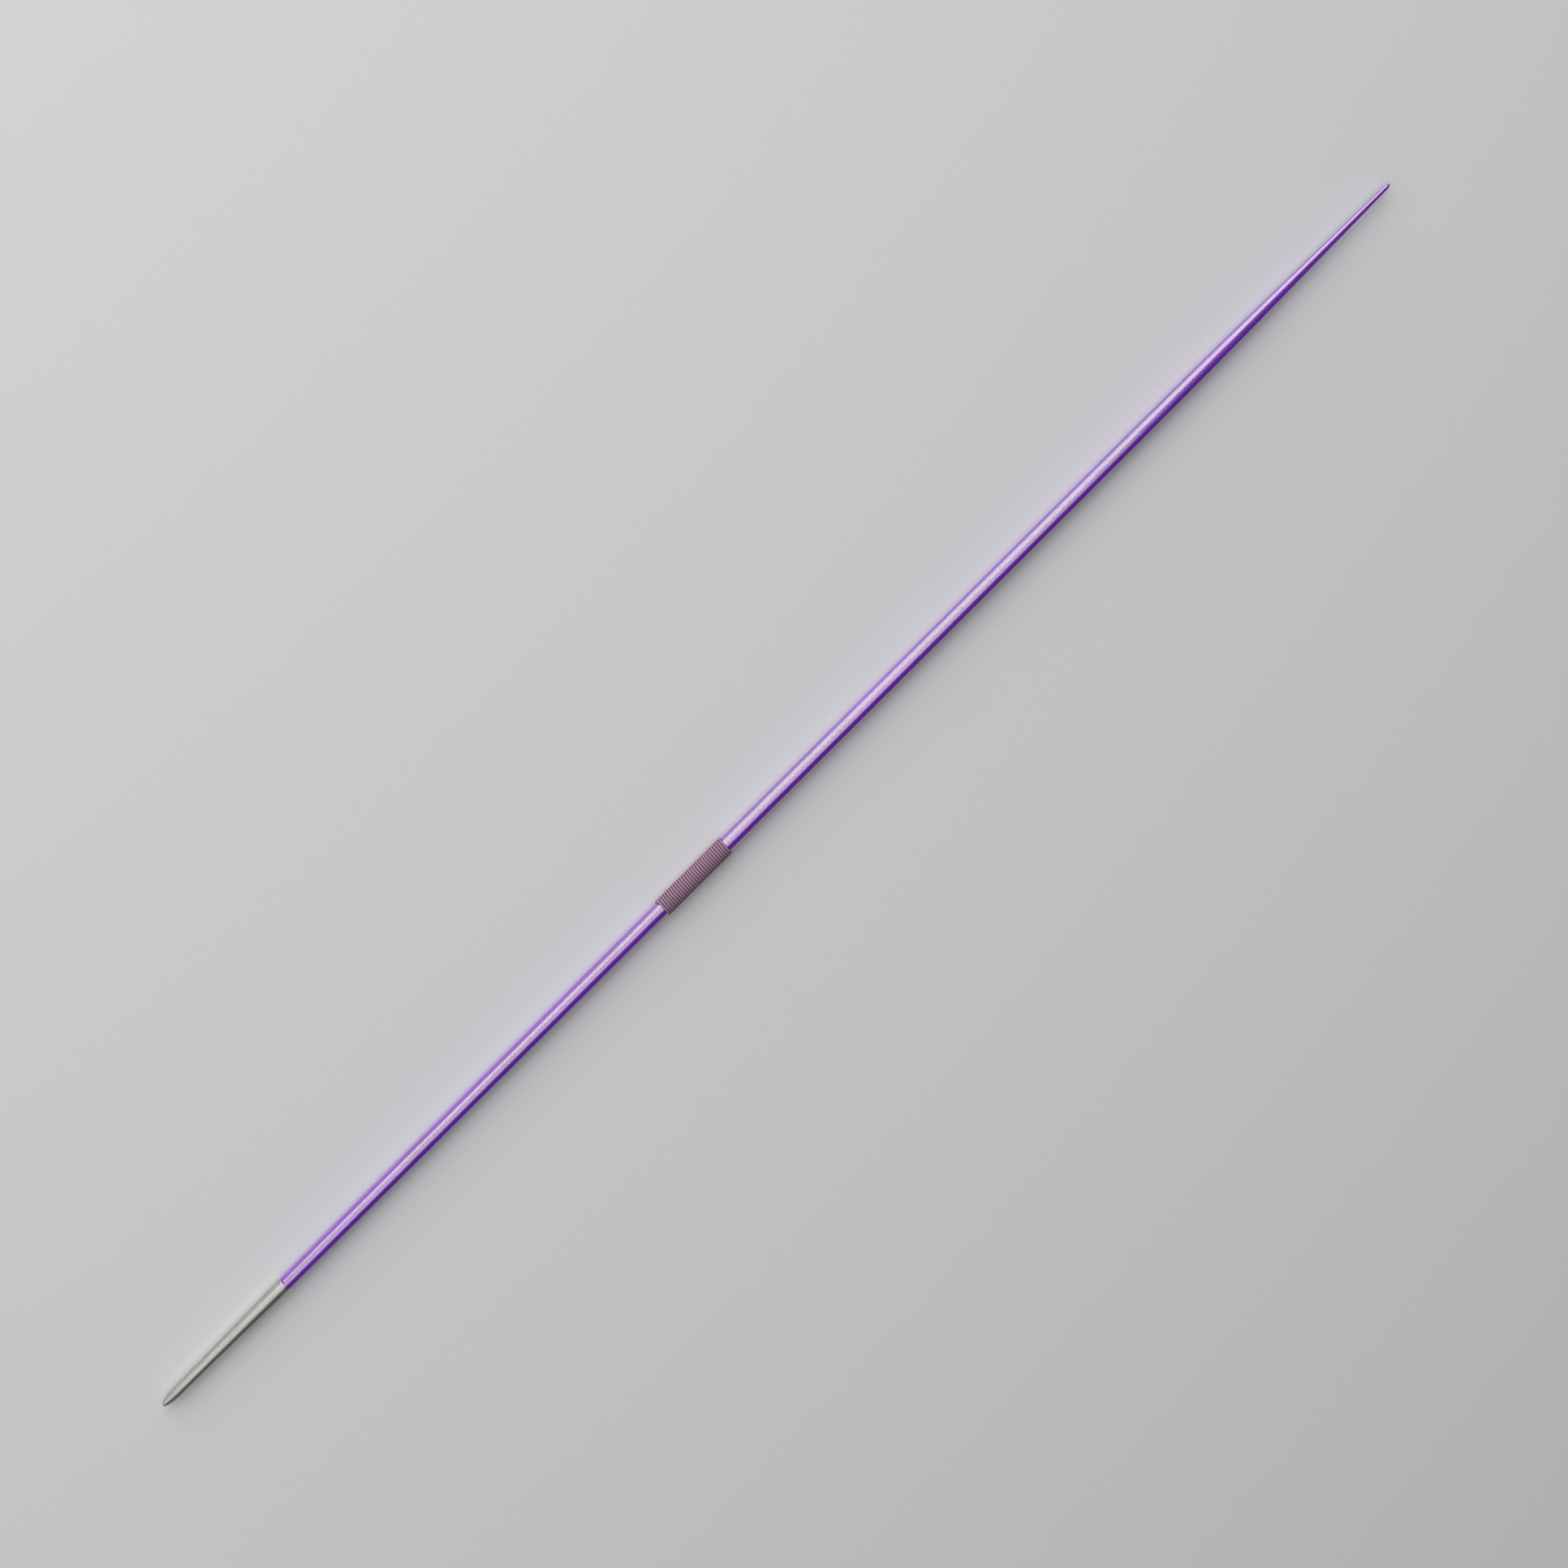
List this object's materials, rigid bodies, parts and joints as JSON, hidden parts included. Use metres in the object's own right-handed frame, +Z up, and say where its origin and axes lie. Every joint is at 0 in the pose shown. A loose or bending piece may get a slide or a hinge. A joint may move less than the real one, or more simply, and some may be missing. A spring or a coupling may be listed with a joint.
{
  "type": "javelin",
  "caption": "Throwing javelin with a pointed metal head, a tapered lacquered metal shaft and a grip of wound cord.",
  "frame": {"origin": "On the surface that the javelin lies on, below the middle of its length and of its width", "axes": "+X along the javelin from point to tail, +Z up, +Y across to the left of the direction from point to tail"},
  "size_m": [2.7, 0.0316, 0.0314],
  "materials": {
    "hardened_steel": "satin, turned and hardened",
    "head_steel": "satin, fine turning marks round the axis",
    "slug_brass": "turned",
    "shaft_lacquer": "violet metallic lacquer under a clear coat",
    "bare_aluminium": "mill finish",
    "grip_underlay": "cloth-backed adhesive tape",
    "grip_cord": "matte whipcord",
    "damper_foam": "open foam"
  },
  "bodies": {
    "root": {"head_point": "hardened_steel", "head_shell": "head_steel", "balance_slug": "slug_brass", "shaft_fore": "shaft_lacquer", "centre_sleeve": "bare_aluminium", "shaft_aft": "shaft_lacquer", "tail_cap": "shaft_lacquer", "grip_tape": "grip_underlay", "grip_cord": "grip_cord", "damper_fore_1": "damper_foam", "damper_aft_1": "damper_foam", "damper_aft_2": "damper_foam"}
  },
  "joints": []
}
